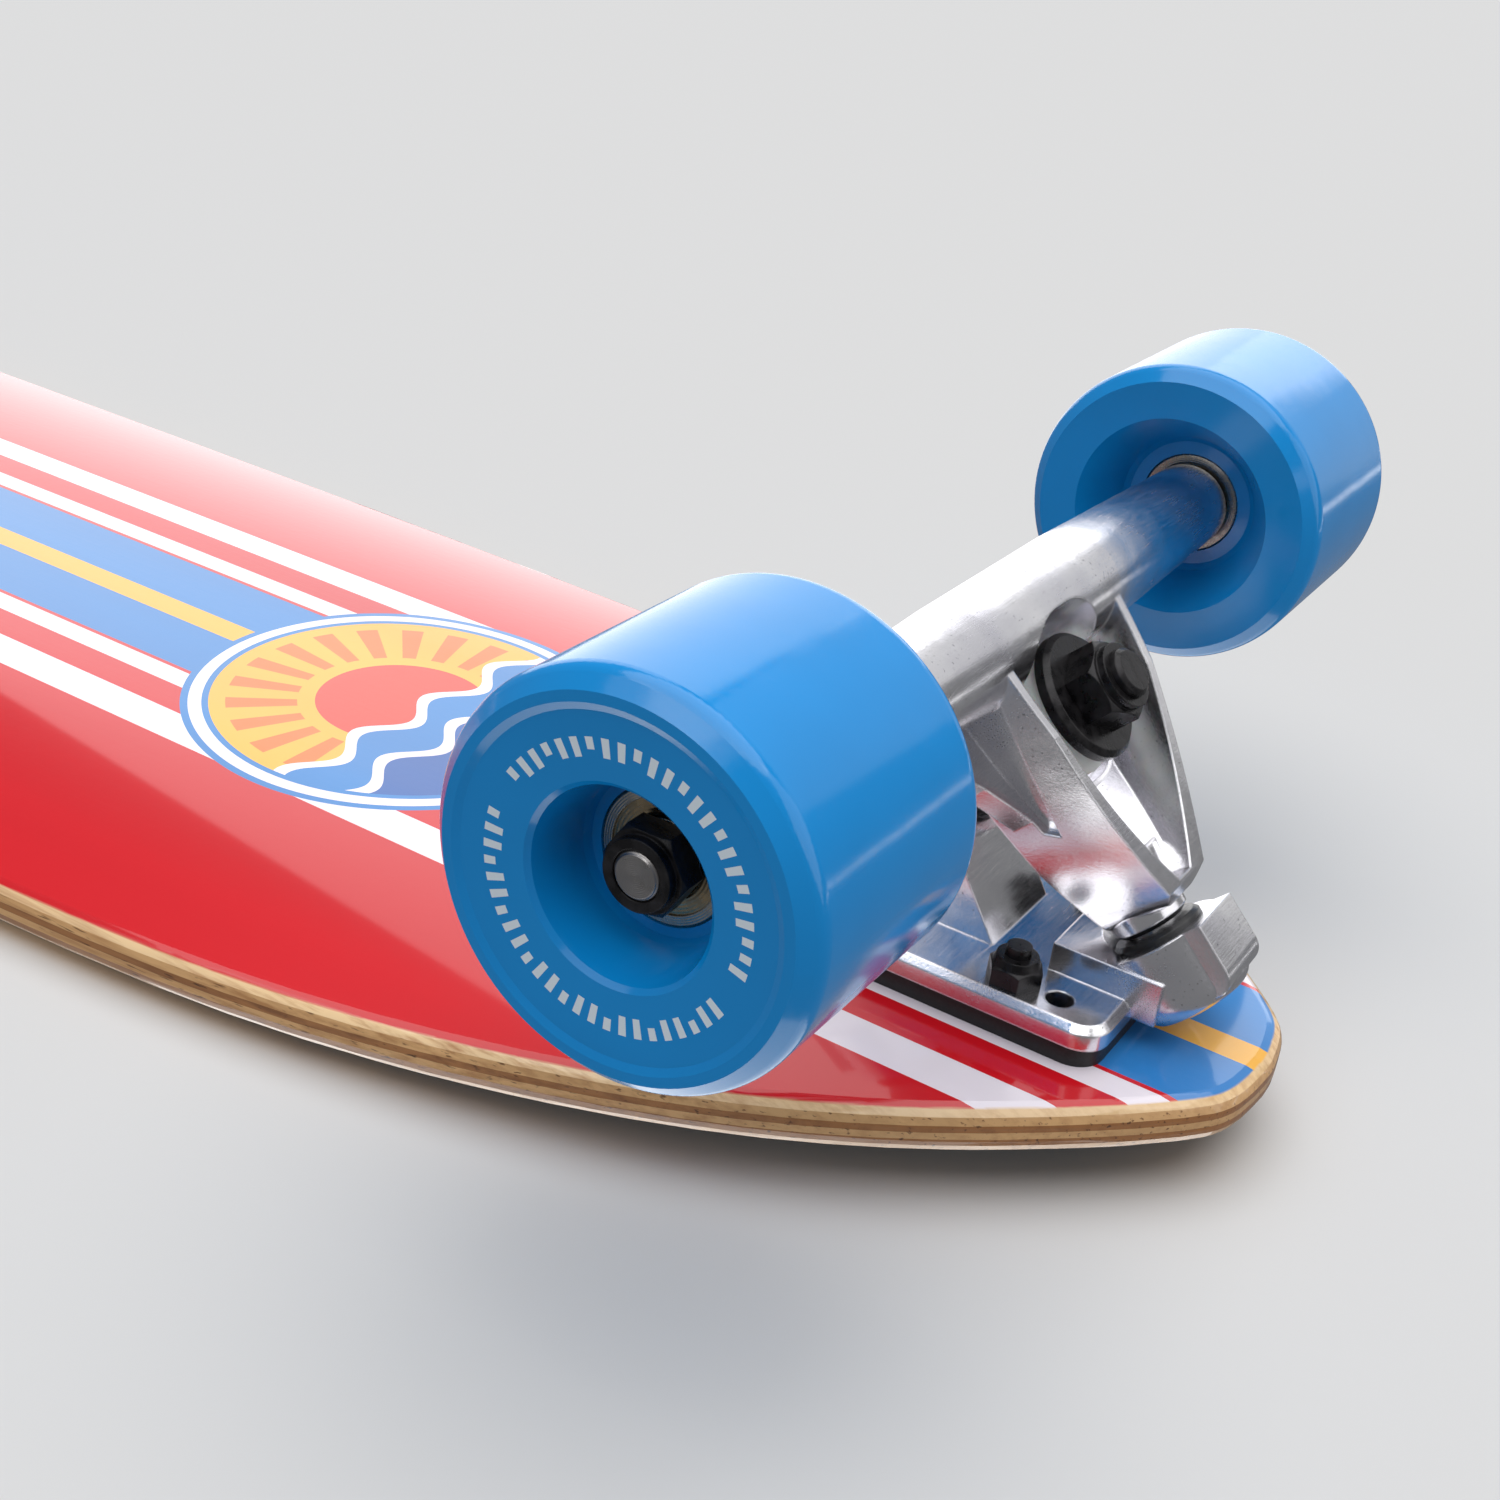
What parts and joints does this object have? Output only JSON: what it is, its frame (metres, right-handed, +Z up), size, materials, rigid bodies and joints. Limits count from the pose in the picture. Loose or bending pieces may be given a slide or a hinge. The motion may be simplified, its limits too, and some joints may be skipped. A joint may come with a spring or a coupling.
{
  "type": "pintail longboard skateboard",
  "caption": "Pintail longboard skateboard: striped laminated deck, reverse-kingpin trucks steering on rubber bushings, blue urethane wheels on bearings.",
  "frame": {"origin": "on the ground under the middle of the board, with the wheels down", "axes": "+X along the board toward the nose, +Z up, +Y to the left"},
  "size_m": [0.889, 0.259, 0.121],
  "materials": {
    "printed_ply": "screen print under gloss lacquer",
    "light_ply": "natural maple, lacquered edge",
    "dark_ply": "darker cross ply, lacquered edge",
    "grip": "black silicon-carbide grit on a self-adhesive sheet",
    "riser": "matt black",
    "cast_aluminium": "polished casting",
    "black_steel": "black oxide",
    "bushing": "milky translucent urethane",
    "pivot_cup": "black urethane",
    "axle_steel": "turned steel",
    "bearing_steel": "ground steel",
    "bearing_shield": "pressed steel with a warm tint",
    "bearing_ball": "polished balls in a steel cage",
    "wheel_urethane": "glossy blue urethane"
  },
  "bodies": {
    "deck": {"deck_ply_1": "printed_ply", "deck_ply_2": "light_ply", "deck_ply_3": "dark_ply", "deck_ply_4": "light_ply", "deck_ply_5": "dark_ply", "deck_ply_6": "light_ply", "deck_ply_7": "light_ply", "grip_tape": "grip", "riser_pad_rear": "riser", "baseplate_rear": "cast_aluminium", "kingpin_rear": "black_steel", "kingpin_nut_rear": "black_steel", "washer_roadside_rear": "black_steel", "washer_boardside_rear": "black_steel", "bushing_roadside_rear": "bushing", "bushing_boardside_rear": "bushing", "pivot_cup_rear": "pivot_cup", "deck_bolts_rear": "black_steel", "deck_nuts_rear": "black_steel", "riser_pad_front": "riser", "baseplate_front": "cast_aluminium", "kingpin_front": "black_steel", "kingpin_nut_front": "black_steel", "washer_roadside_front": "black_steel", "washer_boardside_front": "black_steel", "bushing_roadside_front": "bushing", "bushing_boardside_front": "bushing", "pivot_cup_front": "pivot_cup", "deck_bolts_front": "black_steel", "deck_nuts_front": "black_steel"},
    "truck_rear": {"hanger_rear": "cast_aluminium", "axle_rear": "axle_steel", "speed_washers_rear": "bearing_steel", "axle_nuts_rear": "black_steel", "bearing_inner_rings_rear": "bearing_steel", "bearing_spacers_rear": "axle_steel"},
    "wheel_rear_left": {"wheel_rear_left": "wheel_urethane", "bearing_outer_rings_rear_left": "bearing_steel", "bearing_shields_rear_left": "bearing_shield"},
    "balls_rear_left": {"bearing_balls_rear_left": "bearing_ball"},
    "wheel_rear_right": {"wheel_rear_right": "wheel_urethane", "bearing_outer_rings_rear_right": "bearing_steel", "bearing_shields_rear_right": "bearing_shield"},
    "balls_rear_right": {"bearing_balls_rear_right": "bearing_ball"},
    "truck_front": {"hanger_front": "cast_aluminium", "axle_front": "axle_steel", "speed_washers_front": "bearing_steel", "axle_nuts_front": "black_steel", "bearing_inner_rings_front": "bearing_steel", "bearing_spacers_front": "axle_steel"},
    "wheel_front_left": {"wheel_front_left": "wheel_urethane", "bearing_outer_rings_front_left": "bearing_steel", "bearing_shields_front_left": "bearing_shield"},
    "balls_front_left": {"bearing_balls_front_left": "bearing_ball"},
    "wheel_front_right": {"wheel_front_right": "wheel_urethane", "bearing_outer_rings_front_right": "bearing_steel", "bearing_shields_front_right": "bearing_shield"},
    "balls_front_right": {"bearing_balls_front_right": "bearing_ball"}
  },
  "joints": [
    {"name": "steer_rear", "type": "hinge", "parent": "deck", "child": "truck_rear", "pos_m": [-0.3855, 0, 0.0505], "axis": [-0.7071, 0, 0.7071], "range_deg": [-15, 15], "stiffness_Nm_per_rad": 55, "deforming": ["bushing_roadside_rear", "bushing_boardside_rear"]},
    {"name": "spin_rear_left", "type": "hinge", "parent": "truck_rear", "child": "wheel_rear_left", "pos_m": [-0.3775, 0.104, 0.0325], "axis": [0, 1, 0], "continuous": true},
    {"name": "balls_rear_left", "type": "hinge", "parent": "truck_rear", "child": "balls_rear_left", "pos_m": [-0.3775, 0.104, 0.0325], "axis": [0, 1, 0], "continuous": true},
    {"name": "spin_rear_right", "type": "hinge", "parent": "truck_rear", "child": "wheel_rear_right", "pos_m": [-0.3775, -0.104, 0.0325], "axis": [0, 1, 0], "continuous": true},
    {"name": "balls_rear_right", "type": "hinge", "parent": "truck_rear", "child": "balls_rear_right", "pos_m": [-0.3775, -0.104, 0.0325], "axis": [0, 1, 0], "continuous": true},
    {"name": "steer_front", "type": "hinge", "parent": "deck", "child": "truck_front", "pos_m": [0.3305, 0, 0.0505], "axis": [0.7071, 0, 0.7071], "range_deg": [-15, 15], "stiffness_Nm_per_rad": 55, "deforming": ["bushing_roadside_front", "bushing_boardside_front"]},
    {"name": "spin_front_left", "type": "hinge", "parent": "truck_front", "child": "wheel_front_left", "pos_m": [0.3225, 0.104, 0.0325], "axis": [0, 1, 0], "continuous": true},
    {"name": "balls_front_left", "type": "hinge", "parent": "truck_front", "child": "balls_front_left", "pos_m": [0.3225, 0.104, 0.0325], "axis": [0, 1, 0], "continuous": true},
    {"name": "spin_front_right", "type": "hinge", "parent": "truck_front", "child": "wheel_front_right", "pos_m": [0.3225, -0.104, 0.0325], "axis": [0, 1, 0], "continuous": true},
    {"name": "balls_front_right", "type": "hinge", "parent": "truck_front", "child": "balls_front_right", "pos_m": [0.3225, -0.104, 0.0325], "axis": [0, 1, 0], "continuous": true}
  ],
  "couplings": [
    {"joint": "balls_rear_left", "follows": "spin_rear_left", "ratio": 0.632},
    {"joint": "balls_rear_right", "follows": "spin_rear_right", "ratio": 0.632},
    {"joint": "balls_front_left", "follows": "spin_front_left", "ratio": 0.632},
    {"joint": "balls_front_right", "follows": "spin_front_right", "ratio": 0.632}
  ]
}
